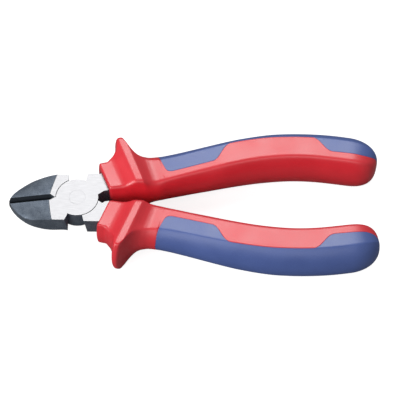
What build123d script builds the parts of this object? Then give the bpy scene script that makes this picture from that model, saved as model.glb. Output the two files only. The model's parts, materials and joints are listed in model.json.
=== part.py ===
from build123d import *
from math import cos, pi, radians, sin, tan
import os

# Diagonal cutting pliers, millimetres. Drawn with the pivot at x = y = 0 and
# the lap joint on z = 0, jaws toward -X; exported with the origin at the
# middle of the underside of the bounding box.

# ---- driving dimensions -------------------------------------------------
TIP_X = -29.7            # jaw tip
END_X = 130.3            # end of the handles, 160 mm from the tip
HEAD_H = 4.5             # half thickness of the head
DISK_R = 9.1             # lap disk
SEAM = 0.3               # clearance round the lap disk
LAP_GAP = 0.03           # each lap face stands off the mid plane
BLADE_GAP = 0.05         # each cutting edge stands off the mid line
PIN_R = 3.5              # pivot rivet
PIN_FIT = 0.05           # running clearance in the front half
HEEL_Y = 11.4            # half width across the heel of the jaws
JAW_STOP = 24.5          # shoulder of the jaw, degrees past the Y axis
NECK_STOP = 15.0         # shoulder of the neck, degrees past the Y axis
STOP_DRAFT = 1.25        # both shoulders lean this far along X over the head's height
NECK_Y = 12.0            # outer edge of the neck
EDGE_DROP = 1.7          # cutting edge below the jaw face
BEVEL_W = 1.45           # half width of the V over the cutting edges
RELIEF = 17.0            # back relief under the cutting edges, degrees
FACE_SLOPE = 0.206       # fall of the jaw face per mm toward the tip
FACE_X = -12.0           # where the jaw face leaves the ground flat
FACE_TILT = 2.0          # extra outward fall of the rear jaw's face, degrees
GRIP_H = 10.6            # half height of the grip at palm and guard
LEAN = 22.0              # lean of the collar and the guard, degrees
COVER_T = 1.8            # soft cover thickness on the flats
TANG_W = 2.6             # half width of the tang inside the handle
TANG_H = 2.75            # half thickness of the tang
TANG_END = 112.0

TO_FRAME = Location((-(TIP_X + END_X) / 2, 0, GRIP_H))
TURNED = Rotation(180, 0, 0)


def prism(points, z0, z1):
    """Flat polygon raised from z0 to z1."""
    face = make_face(Polyline(*points, close=True))
    return Pos(0, 0, z0) * extrude(face, z1 - z0, dir=(0, 0, 1))


# ---- head ---------------------------------------------------------------
def face_z(x):
    return HEAD_H + FACE_SLOPE * (x - FACE_X)


def jaw_envelope():
    """Domed upper face and rising underside that both jaws share."""
    stations = [(-4, 200, -4.5), (-12, 150, -4.5), (-16.4, 57, -4.3),
                (-20, 30, -3.75), (-24, 18, -3.3), (-31, 17, -2.7)]
    faces = []
    for x, radius, bottom in stations:
        w = 8 + (x + 31) * 8 / 27
        top = face_z(x)
        side = top - (radius - (radius**2 - w**2) ** 0.5)
        arc = ThreePointArc((x, -w, side), (x, 0, top), (x, w, side))
        rest = Polyline((x, w, side), (x, w, bottom), (x, -w, bottom),
                        (x, -w, side))
        faces.append(make_face(arc + rest))
    return loft(faces)


def blade_cut():
    """V over the cutting edges, fading out at the disk, and the relief."""
    def wedge(x, drop):
        low = face_z(x) - drop
        up = 2.0
        half = BEVEL_W * (drop + up) / EDGE_DROP
        return make_face(Polyline((x, 0, low), (x, half, low + drop + up),
                                  (x, -half, low + drop + up), close=True))

    v_cut = loft([wedge(TIP_X - 1, EDGE_DROP), wedge(-11.4, EDGE_DROP)], ruled=True)
    root = Vertex(-8.6, 0, HEAD_H + 0.6)
    v_cut += loft([wedge(-11.4, EDGE_DROP), root], ruled=True)

    def relief(x):
        low = face_z(x) - EDGE_DROP - 0.25
        half = BLADE_GAP + (low + 6) * tan(radians(RELIEF))
        return make_face(Polyline((x, 0, low + BLADE_GAP * 3), (x, half, -6),
                                  (x, -half, -6), close=True))

    return v_cut + loft([relief(TIP_X - 1), relief(-9.6)], ruled=True)


def beyond(side, slope, far):
    """What a leaning shoulder cuts away: everything from it to x = far."""
    def slice_at(z):
        shift = STOP_DRAFT * (0.5 + side * z / (2 * HEAD_H))
        near = [(r * slope + shift, side * r, z) for r in (4, 15)]
        return make_face(Polyline(*near, (far, side * 15, z), (far, side * 4, z),
                                  close=True))

    return loft([slice_at(-HEAD_H - 1), slice_at(HEAD_H + 1)], ruled=True)


def jaw(side):
    """Jaw on the +Y (1) or -Y (-1) side of the mid line, full height."""
    slope = -tan(radians(JAW_STOP))
    root = (-1.5, side * 8.2)
    heel = (HEEL_Y * slope + 2, side * HEEL_Y)
    outer = Spline((-8.0, side * HEEL_Y), (-16.4, side * 10.55), (-20.4, side * 9.5),
                   (-24.0, side * 7.4), (-27.2, side * 4.35), (-29.3, side * 1.1),
                   tangents=[(-1, 0), (-0.5, -side)])
    rim = outer + Line(heel, outer @ 0) + Line(root, heel)
    rim += Line((-4.0, side * BLADE_GAP), root)
    rim += Polyline(outer @ 1, (TIP_X, side * 0.5), (TIP_X, side * BLADE_GAP),
                    (-4.0, side * BLADE_GAP))
    block = extrude(make_face(rim), 2 * HEAD_H, dir=(0, 0, 1))
    block = Pos(0, 0, -HEAD_H) * block
    tilt = FACE_TILT if side > 0 else 0
    cap = Pos(0, 0, HEAD_H) * Rotation(-tilt, 0, 0) * Pos(0, 0, -HEAD_H) * jaw_envelope()
    return (block & cap) - blade_cut() - beyond(side, slope, 12)


def neck():
    """Neck beside the crotch and the tang inside the handle, +Y side."""
    slope = tan(radians(NECK_STOP))
    shoulder = [(1.2, 8.4), (NECK_Y * slope - 0.5, NECK_Y)]
    outside = [(10, NECK_Y), (14, 12.6), (24, 14.2), (31, 14.0)]
    inside = [(31, 8.6), (22, 6.2), (15, 4.0), (11.6, 3.4), (9.4, 1.8), (8.2, 1.2)]
    plate = prism(shoulder + outside + inside, -HEAD_H, HEAD_H)
    plate -= beyond(1, slope, -12)
    walk = [28, 45, 62, 79, 96, TANG_END]
    up = [(x, centre(x) + TANG_W) for x in walk]
    down = [(x, centre(x) - TANG_W) for x in reversed(walk)]
    return plate + prism(up + down, -TANG_H, TANG_H)


def half(jaw_side, turn, bore):
    """One forged half; `turn` puts its disk under or over the lap plane."""
    lap = Pos(0, 0, (HEAD_H + LAP_GAP) / 2) * Cylinder(DISK_R, HEAD_H - LAP_GAP)
    room = Pos(0, 0, -HEAD_H / 2) * Cylinder(DISK_R + SEAM, HEAD_H + 2 * LAP_GAP)
    body = turn * neck() + jaw(jaw_side)
    body = body - turn * room + turn * lap
    return body - Cylinder(bore, 4 * HEAD_H)


# ---- handles ------------------------------------------------------------
def centre(x):
    """Y of the handle centre line, one easy swell out and back in."""
    span = 85.9 if x < 95.9 else 103.0
    return 16.75 - 7.45 * cos(pi + (x - 95.9) / span * pi)


def lean(x):
    """Angle of the section planes from the Y axis."""
    span = 85.9 if x < 95.9 else 103.0
    slope = 7.45 * sin(pi + (x - 95.9) / span * pi) * pi / span
    mix = min(max((x - 26) / 12, 0), 1)
    return radians(LEAN) * (1 - mix) + slope * mix


def section(x, f_in, b_in, f_out, b_out, h):
    """Flat top and bottom with bulged sides, across the centre line."""
    s, c, y = sin(lean(x)), cos(lean(x)), centre(x)

    def at(v, z):
        return (x - v * s, y + v * c, z)

    top = Line(at(-f_in, h), at(f_out, h))
    outer = ThreePointArc(at(f_out, h), at(f_out + b_out, 0), at(f_out, -h))
    low = Line(at(f_out, -h), at(-f_in, -h))
    inner = ThreePointArc(at(-f_in, -h), at(-f_in - b_in, 0), at(-f_in, h))
    return make_face(top + outer + low + inner)


# x, inner flat, inner bulge, outer flat, outer bulge, half height
COLLAR = [(11.5, 6.9, 0.9, 6.7, 1.1, 7.3), (15.3, 6.6, 1.1, 7.5, 1.3, 7.3),
          (17.1, 6.5, 1.1, 8.8, 1.4, 7.4)]
RAMP = [COLLAR[-1], (18.8, 6.4, 1.2, 10.2, 1.8, 7.7), (20.6, 6.3, 1.3, 11.9, 2.3, 8.7),
        (22.2, 6.25, 1.4, 14.7, 2.9, 9.9), (23.2, 6.25, 1.5, 16.9, 3.2, 10.4),
        (24.0, 6.25, 1.7, 17.7, 3.3, GRIP_H + 0.02)]
CREST = [RAMP[-1], (25.7, 6.25, 2.1, 17.5, 3.4, GRIP_H + 0.02)]
WAIST = [CREST[-1], (26.3, 6.2, 2.2, 15.6, 3.5, 10.5), (27.1, 6.1, 2.4, 11.8, 3.6, 10.2),
         (28.1, 6.0, 2.6, 9.4, 3.7, 9.55), (29.5, 5.95, 2.8, 7.75, 3.9, 8.7),
         (31.2, 5.9, 2.95, 6.8, 4.1, 8.0), (33.2, 5.9, 2.9, 5.75, 4.3, 7.7),
         (36.5, 5.85, 2.5, 5.0, 4.6, 8.0)]
PALM = [WAIST[-1], (45.0, 5.6, 2.5, 4.55, 4.7, 8.65), (58.0, 5.6, 3.1, 4.5, 4.75, 9.5),
        (75.0, 5.75, 3.15, 4.35, 5.2, 10.5), (95.0, 6.05, 2.85, 3.8, 5.9, 10.95),
        (117.0, 6.45, 2.75, 3.5, 6.0, 10.9)]
END = [PALM[-1], (123.0, 6.3, 2.75, 3.0, 5.3, 10.1), (127.0, 5.3, 2.5, 2.0, 3.7, 8.2),
       (129.2, 3.5, 2.3, 1.1, 1.5, 5.2), (END_X - 0.1, 1.4, 0.6, 0.2, 0.3, 1.6)]


def shrink(row):
    """Section inside the soft cover."""
    x, f_in, b_in, f_out, b_out, h = row
    side = 0.7
    return (x - 0.3, f_in, b_in, f_out - side, max(b_out - 1.1, 0.3), h - COVER_T)


def outer_body():
    body = loft([section(*row) for row in COLLAR], ruled=True)
    body += loft([section(*row) for row in RAMP], ruled=True)
    body += loft([section(*row) for row in CREST], ruled=True)
    body += loft([section(*row) for row in WAIST], ruled=True)
    body += loft([section(*row) for row in PALM])
    body += loft([section(*row) for row in END])
    return body & Pos(70, 20, 0) * Box(160, 60, 2 * GRIP_H)


def cover_plan():
    """Plan of the soft cover, from its front slant to the handle end."""
    edge = [(39.2, -2.0), (59.5, -2.0), (65.9, 5.0), (102.4, 4.5), (110.0, -2.5),
            (120.0, -2.6), (END_X, -1.4)]
    line = [(x, centre(x) + v / cos(lean(x))) for x, v in edge]
    front = [(34.5, centre(34.5) + 10.6), (35.3, centre(35.3) + 5.0)]
    far = [(END_X + 3, centre(END_X) - 2), (END_X + 3, 45), (33.0, 45)]
    return prism(front + line + far, -12, 12)


def soft_cover():
    shell = outer_body() & cover_plan()
    core = loft([section(*shrink(row)) for row in PALM])
    core += loft([section(*shrink(row)) for row in WAIST[-2:]], ruled=True)
    core += loft([section(*shrink(row)) for row in END[:-1]])
    return shell - core


def grip_core(cover):
    return outer_body() - cover - neck()


# ---- write the nodes ----------------------------------------------------
os.makedirs("parts", exist_ok=True)
front = half(-1, Rotation(0, 0, 0), PIN_R + PIN_FIT)
rear = half(1, TURNED, PIN_R)
rivet = Cylinder(PIN_R, 2 * HEAD_H)
cover = soft_cover()
core = grip_core(cover)
nodes = {
    "front_half": front,
    "rear_half": rear,
    "pivot_rivet": rivet,
    "upper_grip_core": core,
    "upper_soft_cover": cover,
    "lower_grip_core": TURNED * core,
    "lower_soft_cover": TURNED * cover,
}
for name, shape in nodes.items():
    solids = shape.solids()
    print(name, "solids", len(solids), "volume", round(shape.volume, 1))
    export_step(TO_FRAME * shape, f"parts/{name}.step")
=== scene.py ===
# %% [markdown]
# # Diagonal cutting pliers
# A small pair of side cutters for wire, 160 mm long. Two forged steel halves cross at a lap
# joint and turn on a flush rivet, and each handle is moulded in hard red plastic with a soft
# blue cover over its back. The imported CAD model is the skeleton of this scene, with all seven
# solids at their real size and place. This lesson dresses it: the steel keeps its CAD shape
# and gets its finish, and each moulded handle piece is modelled again as one smooth skin.
# The frame is in metres, and lengths in the handle formulas are in millimetres.

# %% Load the frame
import json
from math import atan2, cos, pi, radians, sin

import bmesh
import bpy
import numpy as np
from mathutils import Matrix, Vector


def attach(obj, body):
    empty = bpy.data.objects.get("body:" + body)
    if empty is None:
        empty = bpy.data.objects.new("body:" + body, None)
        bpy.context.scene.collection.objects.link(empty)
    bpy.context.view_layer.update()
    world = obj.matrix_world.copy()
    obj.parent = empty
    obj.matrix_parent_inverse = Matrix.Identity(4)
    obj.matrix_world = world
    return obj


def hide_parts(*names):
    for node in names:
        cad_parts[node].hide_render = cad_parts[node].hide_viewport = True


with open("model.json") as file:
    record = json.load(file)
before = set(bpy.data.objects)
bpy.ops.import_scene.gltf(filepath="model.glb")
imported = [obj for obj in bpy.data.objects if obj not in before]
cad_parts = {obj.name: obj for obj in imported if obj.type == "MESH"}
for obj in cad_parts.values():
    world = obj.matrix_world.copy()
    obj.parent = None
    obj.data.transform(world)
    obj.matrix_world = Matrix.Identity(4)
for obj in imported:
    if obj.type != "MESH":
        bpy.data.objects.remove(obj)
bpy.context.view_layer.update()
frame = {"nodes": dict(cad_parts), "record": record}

MM = 0.001
pivot = Vector(next(j for j in frame["record"]["behaviour"]["joints"]
                    if j["name"] == "jaw_pivot")["pos_m"])

# %% [markdown]
# ## Camera
# The tool lies on its side on a pale table and is seen from about 59 degrees above it, from
# far off with a long lens, so the two handles look almost the same size. The camera is placed
# by an azimuth and an elevation round a point between the handles.

# %% Place the camera
VIEW_AZ, VIEW_EL, VIEW_DIST = radians(0.6), radians(58.7), 1.08
SENSOR_MM, LENS_MM = 36, 224
AIM_ALONG, AIM_ACROSS = 53.1 * MM, 1.8 * MM
aim = pivot + Vector((AIM_ALONG, AIM_ACROSS, 0))
back = Vector((sin(VIEW_AZ) * cos(VIEW_EL), -cos(VIEW_AZ) * cos(VIEW_EL), sin(VIEW_EL)))
right = Vector((cos(VIEW_AZ), sin(VIEW_AZ), 0))
camera = bpy.data.objects.new("camera", bpy.data.cameras.new("camera"))
camera.data.sensor_width, camera.data.lens = SENSOR_MM, LENS_MM
camera.matrix_world = (Matrix.Translation(aim + back * VIEW_DIST)
                       @ Matrix((right, back.cross(right), back)).transposed().to_4x4())
bpy.context.collection.objects.link(camera)
bpy.context.scene.camera = camera
print("view width at the tool", round(SENSOR_MM / LENS_MM * VIEW_DIST / MM, 1), "mm")

# %% [markdown]
# ## The line of a handle
# Each handle swells out from the joint and comes back in toward its end. A curve drawn by
# hand would do, but half a cosine wave gives that line in one formula, and its slope comes
# with it. A section of the grip is set square across the line at every step, except near the
# finger guard, where the sections lean with the collar and the guard.


# %% Centre line and lean
CREST_AT, RISE, FALL = 95.9, 85.9, 103.0
LINE_MID, SWELL = 16.75, 7.45
COLLAR_LEAN, LEAN_TO, LEAN_FADE = radians(22), 26, 12


def phase(x):
    """Angle along the wave, and the length that half a wave takes there."""
    half_wave = np.where(x < CREST_AT, RISE, FALL)
    return pi + (x - CREST_AT) / half_wave * pi, half_wave


def centre(x):
    return LINE_MID - SWELL * np.cos(phase(x)[0])


def lean(x):
    angle, half_wave = phase(x)
    slope = SWELL * np.sin(angle) * pi / half_wave
    mix = np.clip((x - LEAN_TO) / LEAN_FADE, 0, 1)
    return COLLAR_LEAN * (1 - mix) + slope * mix


print("the line stands", round(float(centre(CREST_AT)), 2), "mm from the mid line at its crest")

# %% [markdown]
# ## Sizes along the handle
# The flat and the bulge of each side and the half height are keyed at a few places, closest
# together at the finger guard, where the shape turns quickest. Straight lines between the keys
# would show as kinks and a plain cubic would overshoot, so the sizes follow a monotone cubic.


# %% Keyed sizes
def follow(keys, x):
    """Monotone cubic through (position, value) keys."""
    kx, ky = np.array(keys, float).T
    d = np.diff(ky) / np.diff(kx)
    before, after = d[:-1], d[1:]
    both = np.where(before + after == 0, 1, before + after)
    inner = np.where(before * after > 0, 2 * before * after / both, 0)
    m = np.concatenate(([d[0]], inner, [d[-1]]))
    i = np.clip(np.searchsorted(kx, x) - 1, 0, len(d) - 1)
    w = kx[i + 1] - kx[i]
    t = np.clip((x - kx[i]) / w, 0, 1)
    return ((2 * t**3 - 3 * t**2 + 1) * ky[i] + (t**3 - 2 * t**2 + t) * w * m[i]
            + (3 * t**2 - 2 * t**3) * ky[i + 1] + (t**3 - t**2) * w * m[i + 1])


INNER_FLAT = [(11.9, 6.9), (14.3, 6.7), (16, 6.5), (22.3, 6.25), (26.2, 6.25), (29.7, 5.93),
              (33, 5.9), (38.9, 5.75), (49.5, 5.55), (64.7, 5.65), (82.6, 5.85), (100.8, 6.1),
              (116.6, 6.5), (131, 6.5)]
INNER_BULGE = [(11.9, 0.9), (22.3, 1.4), (26.2, 2.2), (29.7, 2.81), (33, 2.9), (39, 2.3),
               (43, 2.4), (49.5, 2.8), (56, 3.15), (82, 3.15), (100, 2.8), (131, 2.75)]
OUTER_FLAT = [(11.9, 6.75), (14, 7.2), (15.3, 7.4), (17.1, 8.8), (18.3, 9.7), (20.2, 11.4),
              (21.3, 12.8), (22.1, 14.5), (22.8, 16.3), (23.4, 17.3), (24.3, 17.8),
              (25.1, 17.8), (25.8, 17.3), (26.2, 16), (26.6, 13.8), (27.1, 11.8),
              (27.7, 10.1), (28.5, 8.8), (29.4, 7.88), (30.4, 7.12), (31.5, 6.56),
              (32.5, 6.05), (33.7, 5.58), (35.7, 5.12), (38.1, 4.75), (45.7, 4.55), (67, 4.5),
              (75, 4.35), (84, 4.15), (92, 3.85), (109, 3.7), (117, 3.5), (131, 3.3)]
OUTER_BULGE = [(11.9, 1.1), (17.1, 1.4), (20.2, 2.2), (22.8, 3), (24.7, 3.3), (27.1, 3.6),
               (30.4, 4.05), (38.1, 4.7), (58, 4.75), (75, 5.2), (92, 5.85), (117, 6),
               (131, 6)]
HEIGHT = [(11.9, 7.3), (16.6, 7.3), (18.8, 7.7), (20.6, 8.7), (22.3, 10.0), (23.4, 10.5),
          (24.0, 10.6), (26.2, 10.6), (26.8, 10.4), (28.1, 9.55), (29.5, 8.71), (31.2, 8.0),
          (33, 7.7), (36, 7.95), (43.4, 8.55), (49.8, 8.95), (56.2, 9.4), (64.9, 10.0),
          (73.6, 10.4), (85, 10.6), (117, 10.6), (131, 10.6)]
END_FROM, END_AT, FRONT_AT, FRONT_ROUND = 117.0, 130.25, 11.5, 0.8
print("handle from", FRONT_AT, "to", END_AT, "mm past the pivot")

# %% [markdown]
# ## One section of the grip
# A section is flat on top and below, with sides that bulge out as circular arcs. On the real
# handle both creases between flat and side are soft. A short Bezier that is pulled toward the
# crease gives that on the inner side. On the outer side its reach is a small share of the
# inner one's, so that crease is left sharper than the real one, and a share of 1 would soften
# it as much. The whole upper outline is then read by its length, so the border between hard
# and soft plastic can start at any point of it.


# %% Side arcs and creases
ARC_POINTS, CREASE_POINTS = 60, 25


def side_arc(flat, bulge, h):
    """Arc from the crease at the end of the flat down to the widest point of the side."""
    r = (bulge * bulge + h * h) / (2 * bulge)
    middle = flat + bulge - r
    a = np.linspace(atan2(h, flat - middle), 0, ARC_POINTS)
    return np.stack([middle + r * np.cos(a), r * np.sin(a)], 1)


def soften(line, grow, crease, reach):
    """Swap the crease at one length for a Bezier that starts and ends at reach from it."""
    at = np.linspace(crease - reach, crease + reach, CREASE_POINTS)
    a, b, c = (np.array([np.interp(g, grow, line[:, k]) for k in (0, 1)])
               for g in (at[0], crease, at[-1]))
    t = np.linspace(0, 1, CREASE_POINTS)[:, None]
    bend = (1 - t) ** 2 * a + 2 * t * (1 - t) * b + t**2 * c
    before, after = grow < at[0], grow > at[-1]
    return (np.concatenate([line[before], bend, line[after]]),
            np.concatenate([grow[before], at, grow[after]]))


print("a side that bulges 4.7 mm starts at", side_arc(4.5, 4.7, 9.0)[0].round(2), "mm")

# %% Outline of one section
END_POWERS, TALL_POWER = (2.9, 2.4, 2.0), 0.82
SOFT_REACH, SOFT_PER_HEIGHT, SOFT_LEAST, SOFT_PER_FLAT = 1.3, 0.2, 0.1, 0.45
OUTER_SHARE = 0.0375


def outline(x):
    """Upper outline from the inner side to the outer one, its lengths, and the end's width."""
    u = max((x - END_FROM) / (END_AT - END_FROM), 0)
    w_in, w, w_out = ((1 - u**k) ** (1 / k) for k in END_POWERS)
    t = min((x - FRONT_AT) / FRONT_ROUND, 1)
    inset = FRONT_ROUND * (1 - (1 - (1 - t) ** 2) ** 0.5)
    f_in, b_in = (float(follow(k, x)) * w_in for k in (INNER_FLAT, INNER_BULGE))
    f_out, b_out = (float(follow(k, x)) * w_out for k in (OUTER_FLAT, OUTER_BULGE))
    h = float(follow(HEIGHT, x)) * w**TALL_POWER - inset
    inner = side_arc(f_in - inset, b_in, h)[::-1] * (-1, 1)
    line = np.concatenate([inner, side_arc(f_out - inset, b_out, h)])
    grow = np.concatenate(([0], np.cumsum(np.linalg.norm(np.diff(line, axis=0), axis=1))))
    creases = grow[ARC_POINTS - 1:ARC_POINTS + 1]
    reach = min(SOFT_REACH, SOFT_PER_HEIGHT * h + SOFT_LEAST,
                SOFT_PER_FLAT * (creases[1] - creases[0]))
    for crease, share in zip(creases, (1, OUTER_SHARE)):
        line, grow = soften(line, grow, crease, reach * share)
    return line, grow, w


PALM_AT = 76.0
palm = outline(PALM_AT)[0]
print("palm section", round(float(np.ptp(palm[:, 0])), 2), "mm wide")

# %% [markdown]
# ## Where hard plastic meets soft plastic
# The soft cover wraps the outer side and the end of the handle. On the flats its border runs
# back in a long strip, steps out to the crease beside the palm and steps in again before the
# end. A painted border on one mesh would be quicker, but two nested pieces give a real edge.
# Both are moulded with a small rounded lip along it, so a fine line of shadow lies between
# the colours.

# %% Border line
BORDER = [(36.6, 6.7), (37.0, 4.2), (38.3, -0.9), (39.4, -1.9), (41.0, -2.2), (58.0, -2.2),
          (59.1, -1.9), (65.6, 4.0), (67.2, 4.6), (75, 4.45), (84, 4.25), (92, 3.95),
          (101.8, 3.85), (103.2, 3.3), (109.4, -2.3), (111.2, -2.75), (123.5, -2.5),
          (127.3, -1.8), (129.4, -0.8), (131, 0)]
COVER_FROM, RECESS, LIP = 36.4, 1.5, 0.16
LIP_PATH = [(0.0, 0.20), (0.015, 0.11), (0.05, 0.045), (0.10, 0.012), (LIP, 0.0)]
print("border keyed from", BORDER[0][0], "to", BORDER[-1][0], "mm")

# %% [markdown]
# ## Stations
# Sections could be set at even steps, but then the guard and the ends of the cover would look
# faceted or the long palm would waste faces. So the steps are short at the guard and at the
# bends of the border and long in between, and both ends are stepped by angle, as on a sphere.


# %% Stations along the handle
FRONT_RUNS = [(12.35, 17, 0.5), (17, 33, 0.2), (33, 36.35, 0.4)]
COVER_RUNS = [(COVER_FROM, 41.4, 0.17), (41.4, 57, 0.7), (57, 69, 0.3), (69, 101, 0.8),
              (101, 114, 0.3), (114, END_FROM, 0.6)]
STEP_BEFORE_COVER, TURN_STEPS, FRONT_SKIP = 0.04, 34, 4


def spread(a, b, step):
    return np.linspace(a, b, max(int(round((b - a) / step)), 1), endpoint=False)


turn = np.linspace(0, pi / 2, TURN_STEPS)[:-1]
stations = np.concatenate([
    FRONT_AT + FRONT_ROUND * (1 - np.cos(turn[::FRONT_SKIP])),
    *(spread(*run) for run in FRONT_RUNS), [COVER_FROM - STEP_BEFORE_COVER],
    *(spread(*run) for run in COVER_RUNS), END_FROM + (END_AT - END_FROM) * np.sin(turn)])
print(len(stations), "stations")

# %% [markdown]
# ## Skins of the grip
# A subdivided cage would round the guard off. So a ring of points is laid at every station
# instead, and neighbouring rings are joined by quads. The hard core's ring runs over the inner
# side and dives under the soft cover. The cover's ring runs over the outer side and returns
# just under its own surface, so both are closed solids that nest with a thin gap between them.


# %% Border and depth
BEFORE_COVER, COVER_TIP, END_STRIP = 0.3, 0.5, 0.25


def border_length(x, line, grow, w):
    """Length along the outline at which the soft cover starts."""
    end = grow[-1]
    first_at, first_v = BORDER[0]
    if x >= first_at:
        edge = float(np.interp(float(follow(BORDER, x)), line[:, 0], grow))
    elif x >= COVER_FROM:
        t = (x - COVER_FROM) / (first_at - COVER_FROM)
        first = float(np.interp(first_v, line[:, 0], grow))
        edge = first + (end - COVER_TIP - first) * (1 - t)
    else:
        edge = end - BEFORE_COVER
    return min(edge, end - END_STRIP * w)


def surface(line, grow, s, deep):
    """Point at length s of the outline, sunk toward the middle of the section."""
    v, z = (np.interp(s, grow, line[:, k]) for k in (0, 1))
    middle = (line[0, 0] + line[-1, 0]) / 2
    half = (line[-1, 0] - line[0, 0]) / 2
    return np.array([middle + (v - middle) * (1 - deep / max(half, deep * 2)),
                     z * (1 - deep / max(line[:, 1].max(), deep * 2))])


print("cover starts", round(border_length(PALM_AT, *outline(PALM_AT)), 2),
      "mm along the palm section")

# %% Rings
NEST_GAP, COVER_TUCK = 0.12, 0.02
CORE_TOP, CORE_UNDER, COVER_TOP, COVER_UNDER = 44, 26, 40, 22


def ring(x, part):
    """Closed ring of points of the hard core or the soft cover at one station."""
    line, grow, w = outline(x)
    end = grow[-1]
    edge = border_length(x, line, grow, w)
    cover = x >= COVER_FROM
    lip = [(d * w, z * w if cover else 0) for d, z in LIP_PATH]
    if part == "core":
        run = [edge - d for d, _ in lip]
        run += list(np.linspace(run[-1], 0, CORE_TOP)[1:])
        back_to = np.linspace(edge, end, CORE_UNDER)
        deep = RECESS * w if cover else 0
    else:
        run = [edge + d for d, _ in lip]
        run += list(np.linspace(run[-1], end, COVER_TOP)[1:])
        back_to = np.linspace(edge + COVER_TUCK, end, COVER_UNDER)
        deep = (RECESS - NEST_GAP) * w
    depth = [z for _, z in lip] + [0] * (len(run) - len(lip))
    upper = [surface(line, grow, s, z) for s, z in zip(run, depth)]
    inner = [surface(line, grow, s, deep) for s in back_to]
    below = inner[1:-1] if part == "core" else inner[:-1]
    inner_top = inner[:0:-1] if part == "core" else inner[::-1]
    loop = np.array(upper + [p * (1, -1) for p in upper[-2::-1] + below] + inner_top)
    y0, tilt = float(centre(np.array(x))), float(lean(np.array(x)))
    return np.stack([x - loop[:, 0] * sin(tilt), y0 + loop[:, 0] * cos(tilt), loop[:, 1]], 1)


print("points in a ring", len(ring(PALM_AT, "core")), "and", len(ring(PALM_AT, "cover")))


# %% Skins
def skin(name, part, side):
    """Closed mesh of one moulded piece, on the +Y (1) or -Y (-1) handle."""
    xs = [x for x in stations if part == "core" or x >= COVER_FROM]
    rows = np.array([ring(x, part) for x in xs])
    n, m = rows.shape[:2]
    points = rows.reshape(-1, 3) * (1, side, 1) * MM + np.array(pivot)
    faces = [(i * m + j, i * m + (j + 1) % m, (i + 1) * m + (j + 1) % m, (i + 1) * m + j)
             for i in range(n - 1) for j in range(m)]
    faces += [tuple(range(m))[::-1], tuple((n - 1) * m + j for j in range(m))]
    mesh = bpy.data.meshes.new(name)
    mesh.from_pydata(points.tolist(), [], faces)
    bm = bmesh.new()
    bm.from_mesh(mesh)
    bmesh.ops.triangulate(bm, faces=[f for f in bm.faces if len(f.verts) > 4])
    bmesh.ops.recalc_face_normals(bm, faces=bm.faces)
    if bm.calc_volume(signed=True) < 0:
        bmesh.ops.reverse_faces(bm, faces=bm.faces)
    bm.to_mesh(mesh)
    bm.free()
    mesh.shade_smooth()
    piece = bpy.data.objects.new(name, mesh)
    bpy.context.collection.objects.link(piece)
    print(name, len(mesh.polygons), "faces")
    return piece


grips = {}
for where, side in (("upper", 1), ("lower", -1)):
    grips[where, "core"] = skin(f"{where}_hard_grip", "core", side)
    grips[where, "cover"] = skin(f"{where}_soft_skin", "cover", side)

# %% [markdown]
# ## Grain shared by the finishes
# Forged steel, hard plastic and soft plastic all have a fine grain, and only its size and
# strength differ. It could be built three times, but one node group keeps the three alike: a
# coarse noise for slow patches of colour and gloss, and a fine one for the grain itself. It
# reads the object's own coordinates, in metres, so the grain moves with a handle that swings.


# %% Node helpers and the grain group
def group_tree(name, inputs, outputs):
    tree = bpy.data.node_groups.new(name, "ShaderNodeTree")
    for label, value in inputs:
        socket = tree.interface.new_socket(label, in_out="INPUT", socket_type="NodeSocketFloat")
        socket.default_value = value
    for label, kind in outputs:
        tree.interface.new_socket(label, in_out="OUTPUT", socket_type=f"NodeSocket{kind}")
    return tree, tree.nodes.new("NodeGroupInput"), tree.nodes.new("NodeGroupOutput")


def add(tree, kind, links=(), **values):
    """A node with settings in lower case and links given as (socket, source)."""
    node = tree.nodes.new(kind)
    for key, value in values.items():
        setattr(node, key, value)
    for socket, source in links:
        if isinstance(source, bpy.types.NodeSocket):
            tree.links.new(source, node.inputs[socket])
        else:
            node.inputs[socket].default_value = source
    return node


grain, grain_in, grain_out = group_tree(
    "fine grain",
    [("Grain Size mm", 0.3), ("Patch Size mm", 9.0), ("Grain Contrast", 1.0)],
    [("Height", "Float"), ("Patches", "Float"), ("Speckle", "Float")])
where_at = add(grain, "ShaderNodeTexCoord")
for label, detail, out in (("Grain Size mm", 3.0, "Height"), ("Patch Size mm", 4.0, "Patches")):
    metres = add(grain, "ShaderNodeMath", [(0, grain_in.outputs[label]), (1, MM)],
                 operation="MULTIPLY")
    scale = add(grain, "ShaderNodeMath", [(0, 1.0), (1, metres.outputs[0])], operation="DIVIDE")
    noise = add(grain, "ShaderNodeTexNoise", [("Vector", where_at.outputs["Object"]),
                                              ("Scale", scale.outputs[0]), ("Detail", detail)])
    if out == "Height":
        centred = add(grain, "ShaderNodeMath", [(0, noise.outputs["Fac"]), (1, 0.5)],
                      operation="SUBTRACT")
        spread_out = add(grain, "ShaderNodeMath", [(0, centred.outputs[0]),
                                                   (1, grain_in.outputs["Grain Contrast"]),
                                                   (2, 0.5)],
                         operation="MULTIPLY_ADD")
        grain.links.new(spread_out.outputs[0], grain_out.inputs["Speckle"])
    grain.links.new(noise.outputs["Fac"], grain_out.inputs[out])
print("group", grain.name, "puts out", [socket.name for socket in grain_out.inputs if socket.name])

# %% [markdown]
# ## Plastics
# The hard plastic is a deep red with a satin gloss, the soft one a muted blue with a duller,
# coarser-grained skin. Flat colours would look like toys, so slow patches shift the colour and
# the gloss a little, and the grain gives a light bump. The base colour, roughness and bump
# follow the group, while constants such as the IOR are set on the shader itself.


# %% Plastic materials
PATCH_MM, BUMP_PER_GRAIN, SHINE = 11, 0.2, 0.9
TONE_FROM, TONE_TO, PATCH_FROM, PATCH_TO = 0.6, 1.4, 0.3, 0.7
GLOSSIER, DULLER = 0.04, 0.05


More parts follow.
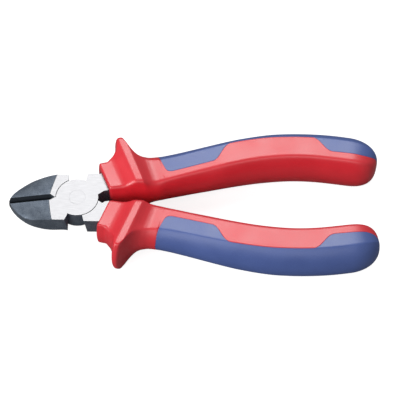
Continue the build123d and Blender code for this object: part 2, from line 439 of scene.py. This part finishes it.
def plastic(name, dark, light, rough, grain_mm, bump, contrast, ior):
    mat = bpy.data.materials.new(name)
    mat.use_nodes = True
    tree = mat.node_tree
    shader = tree.nodes["Principled BSDF"]
    shader.inputs["IOR"].default_value = ior
    shader.inputs["Specular IOR Level"].default_value = SHINE
    skin_grain = add(tree, "ShaderNodeGroup", node_tree=grain)
    for label, value in (("Grain Size mm", grain_mm), ("Patch Size mm", PATCH_MM),
                         ("Grain Contrast", contrast)):
        skin_grain.inputs[label].default_value = value
    both = add(tree, "ShaderNodeMath", [(0, skin_grain.outputs["Patches"]),
                                        (1, skin_grain.outputs["Speckle"])], operation="ADD")
    tone = add(tree, "ShaderNodeMapRange", [("Value", both.outputs[0]),
                                            ("From Min", TONE_FROM), ("From Max", TONE_TO)])
    colour = add(tree, "ShaderNodeMix", [("Factor", tone.outputs[0])], data_type="RGBA")
    colour.inputs[6].default_value, colour.inputs[7].default_value = (*dark, 1), (*light, 1)
    gloss = add(tree, "ShaderNodeMapRange", [("Value", skin_grain.outputs["Patches"]),
                                             ("From Min", PATCH_FROM), ("From Max", PATCH_TO),
                                             ("To Min", rough - GLOSSIER),
                                             ("To Max", rough + DULLER)])
    lumps = add(tree, "ShaderNodeBump", [("Height", skin_grain.outputs["Height"]),
                                         ("Strength", bump),
                                         ("Distance", grain_mm * BUMP_PER_GRAIN * MM)])
    tree.links.new(colour.outputs[2], shader.inputs["Base Color"])
    tree.links.new(gloss.outputs[0], shader.inputs["Roughness"])
    tree.links.new(lumps.outputs[0], shader.inputs["Normal"])
    return mat


red = plastic("red hard plastic", (0.66, 0.019, 0.031), (0.80, 0.027, 0.043), rough=0.36,
              grain_mm=0.35, bump=0.35, contrast=0.7, ior=1.5)
blue = plastic("blue soft plastic", (0.055, 0.098, 0.31), (0.078, 0.132, 0.39), rough=0.40,
               grain_mm=0.45, bump=0.5, contrast=0.9, ior=1.48)
for (where, part), piece in grips.items():
    piece.data.materials.append(red if part == "core" else blue)
print("materials", red.name, "and", blue.name)

# %% [markdown]
# ## Where the steel is bright
# Both halves are forged and burnished to a blue-black, and only the joint faces are ground
# flat and polished. Three materials could be set face by face, but the ground faces all lie
# on two planes, so the height in the object's own coordinates tells bright steel from dark.
# The bevels of the V above the cutting edges get a painted shade, nearly black, for the shade and
# dark reflection in the groove, and the distance from the mid line picks them out, on the jaws
# only.

# %% Steel masks
GROUND_FROM, GROUND_TO = 4.43 * MM, 4.49 * MM
BEVEL_FROM, BEVEL_TO = 1.40 * MM, 1.50 * MM
JAW_FROM, JAW_TO = pivot.x - 8.8 * MM, pivot.x - 8.5 * MM
steel = bpy.data.materials.new("forged steel, ground joint")
steel.use_nodes = True
tree = steel.node_tree
spot = add(tree, "ShaderNodeTexCoord")
split = add(tree, "ShaderNodeSeparateXYZ", [("Vector", spot.outputs["Object"])])


def distance(axis, middle):
    """Distance from a plane through the pivot, across one axis of the object."""
    offset = add(tree, "ShaderNodeMath", [(0, split.outputs[axis]), (1, middle)],
                 operation="SUBTRACT")
    return add(tree, "ShaderNodeMath", [(0, offset.outputs[0])], operation="ABSOLUTE").outputs[0]


def ramp(value, low, high):
    return add(tree, "ShaderNodeMapRange", [("Value", value), ("From Min", low),
                                            ("From Max", high)]).outputs[0]


ground = ramp(distance("Z", pivot.z), GROUND_FROM, GROUND_TO)
# 1 away from the jaw bevels, 0 on them, where the painted bevel shade is let in.
off_shaded_bevel = add(tree, "ShaderNodeMath", [(0, ramp(distance("Y", pivot.y), BEVEL_FROM, BEVEL_TO)),
                                         (1, ramp(split.outputs["X"], JAW_FROM, JAW_TO))],
                operation="MAXIMUM").outputs[0]
print("ground faces from", round(GROUND_FROM / MM, 2), "mm above and below the lap")

# %% [markdown]
# ## Burnish, grinding lines and painted bevel shade
# The burnish is blotchy, so its two tones are mixed by the shared grain group. The grinding
# leaves fine straight lines, and a noise that is stretched along the head makes them.

# %% Steel colours
LINE_SCALE, LINE_TURN = (260, 5200, 260), radians(6)
# Painted shade: the bevels of the V are coloured nearly black for the shade and dark reflection in
# the groove.
BEVEL_PAINTED_SHADE = (0.012, 0.016, 0.022, 1)


def blend(factor, low, high):
    """Mix of two colours, each of them a constant or a socket."""
    return add(tree, "ShaderNodeMix", [("Factor", factor), (6, low), (7, high)],
               data_type="RGBA").outputs[2]


forged = add(tree, "ShaderNodeGroup", node_tree=grain)
for label, value in (("Grain Size mm", 0.35), ("Patch Size mm", 3.0), ("Grain Contrast", 1.6)):
    forged.inputs[label].default_value = value
stretch = add(tree, "ShaderNodeMapping", [("Vector", spot.outputs["Object"]),
                                          ("Scale", LINE_SCALE),
                                          ("Rotation", (0, 0, LINE_TURN))])
lines = add(tree, "ShaderNodeTexNoise", [("Vector", stretch.outputs[0]), ("Scale", 1.0),
                                         ("Detail", 3.0)])
tone = add(tree, "ShaderNodeMath", [(0, forged.outputs["Patches"]),
                                    (1, forged.outputs["Speckle"])], operation="ADD")
burnished = blend(ramp(tone.outputs[0], 0.5, 1.5), (0.085, 0.11, 0.15, 1), (0.29, 0.34, 0.41, 1))
bright = blend(lines.outputs["Fac"], (0.165, 0.165, 0.171, 1), (0.28, 0.28, 0.287, 1))
face = blend(ground, blend(off_shaded_bevel, BEVEL_PAINTED_SHADE, burnished), bright)
print("steel colours mixed by", len([n for n in tree.nodes if n.type == "MIX"]), "nodes")

# %% [markdown]
# ## Steel surface
# The ground faces are smoother and fully metallic, while the burnish is a thin oxide and a
# little less so. The same mask turns the bump from grain to grinding lines.

# %% Steel gloss, metal and relief
gloss = add(tree, "ShaderNodeMapRange", [("Value", ground), ("To Min", 0.42), ("To Max", 0.3)])
metal = add(tree, "ShaderNodeMapRange", [("Value", ground), ("To Min", 0.8), ("To Max", 1.0)])
relief = add(tree, "ShaderNodeMix", [("Factor", ground), (2, forged.outputs["Height"]),
                                     (3, lines.outputs["Fac"])])
lumps = add(tree, "ShaderNodeBump", [("Height", relief.outputs[0]), ("Strength", 0.4),
                                     ("Distance", 0.05 * MM)])
shader = tree.nodes["Principled BSDF"]
for source, target in ((face, "Base Color"), (gloss.outputs[0], "Roughness"),
                       (metal.outputs[0], "Metallic"), (lumps.outputs[0], "Normal")):
    tree.links.new(source, shader.inputs[target])
STEEL_NODES = ("front_half", "rear_half", "pivot_rivet")
for node in STEEL_NODES:
    for place in frame["nodes"][node].material_slots:
        place.material = steel
print("steel on", ", ".join(STEEL_NODES))

# %% [markdown]
# ## Join the frame
# Each moulded piece rides on the body of its handle and stands for its CAD solid, so it
# swings with that handle. Slots let the two plastics be changed later without touching the
# steel. The upper grip belongs to the front half and the lower grip to the rear half, because
# the halves cross at the joint.

# %% Ride and replace
BODY = {"upper": "front_handle", "lower": "rear_handle"}
for (where, part), piece in grips.items():
    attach(piece, BODY[where])
    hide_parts(f"{where}_grip_core" if part == "core" else f"{where}_soft_cover")
print(len(grips), "moulded pieces ride on", ", ".join(BODY.values()))

# %% [markdown]
# ## Table
# The tool lies on a plain pale table. A lit white sheet would do, but it would show a pool of
# light under each box and throw that light back up under the handles. So the table is a
# surface of its own brightness for the camera and a dull one for all other rays.

# %% Table
TABLE_DROP, TABLE_SIZE = 0.2 * MM, 6
bpy.ops.mesh.primitive_plane_add(size=TABLE_SIZE, location=(0, 0, -TABLE_DROP))
table = bpy.context.object
table.name = "table"
paper = bpy.data.materials.new("table paper")
paper.use_nodes = True
tree = paper.node_tree
seen = tree.nodes["Principled BSDF"]
for label, value in (("Base Color", (0.5, 0.5, 0.5, 1)), ("Roughness", 0.9),
                     ("Emission Color", (1, 1, 1, 1)), ("Emission Strength", 0.84)):
    seen.inputs[label].default_value = value
dull = add(tree, "ShaderNodeBsdfDiffuse", [("Color", (0.2, 0.2, 0.2, 1))])
ray = add(tree, "ShaderNodeLightPath")
pick = add(tree, "ShaderNodeMixShader", [(0, ray.outputs["Is Camera Ray"]),
                                         (1, dull.outputs[0]), (2, seen.outputs[0])])
tree.links.new(pick.outputs[0], tree.nodes["Material Output"].inputs["Surface"])
table.data.materials.append(paper)
print("table", TABLE_SIZE, "m wide,", round(TABLE_DROP / MM, 2), "mm under the tool")

# %% [markdown]
# ## Light
# A soft box stands behind and above, in the direction that mirrors the camera in the flat
# tops, so the flats carry a soft haze and the walls stay deep. One box fills the walls from
# the front and one from the left, and a pale grey world lights the rest.


# %% Soft boxes and world
def softbox(name, az, el, dist, size, power):
    """Area light aimed at the tool, at an azimuth and an elevation in degrees."""
    lamp = bpy.data.objects.new(name, bpy.data.lights.new(name, "AREA"))
    lamp.data.shape, lamp.data.energy = "RECTANGLE", power
    lamp.data.size, lamp.data.size_y = size
    az, el = radians(az), radians(el)
    away = Vector((sin(az) * cos(el), -cos(az) * cos(el), sin(el)))
    lamp.location = aim + away * dist
    lamp.rotation_euler = away.to_track_quat("Z", "Y").to_euler()
    bpy.context.collection.objects.link(lamp)
    print(name, power, "W")


softbox("back box", az=180, el=58, dist=1.2, size=(0.7, 0.7), power=7.6)
softbox("front fill", az=-8, el=40, dist=1.6, size=(1.4, 0.8), power=4.6)
softbox("left fill", az=-58, el=22, dist=1.5, size=(0.9, 0.9), power=15)
world = bpy.data.worlds.new("studio")
world.use_nodes = True
sky = world.node_tree.nodes["Background"]
sky.inputs["Color"].default_value = (1, 1, 1, 1)
sky.inputs["Strength"].default_value = 0.26
bpy.context.scene.world = world
bpy.context.scene.view_settings.view_transform = "Standard"
